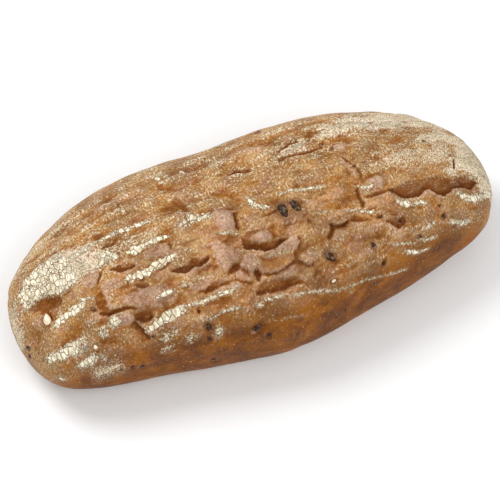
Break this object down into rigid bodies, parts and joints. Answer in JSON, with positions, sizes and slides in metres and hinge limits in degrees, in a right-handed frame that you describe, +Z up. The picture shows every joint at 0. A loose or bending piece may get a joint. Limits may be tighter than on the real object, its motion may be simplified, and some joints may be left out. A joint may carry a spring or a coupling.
{
  "type": "oval rye loaf",
  "caption": "Oval hearth-baked rye loaf with a wrinkled, torn crust and ridges of flour left by its proving basket; stands on its flat underside.",
  "frame": {"origin": "middle of the loaf's box, on the flat underside that it stands on", "axes": "+X along the loaf towards its tapered, floury end, +Y across it towards the back, +Z up from the underside to the crown"},
  "size_m": [0.3004, 0.137, 0.081],
  "materials": {
    "crust": "matte"
  },
  "bodies": {
    "root": {"loaf": "crust"}
  },
  "joints": []
}
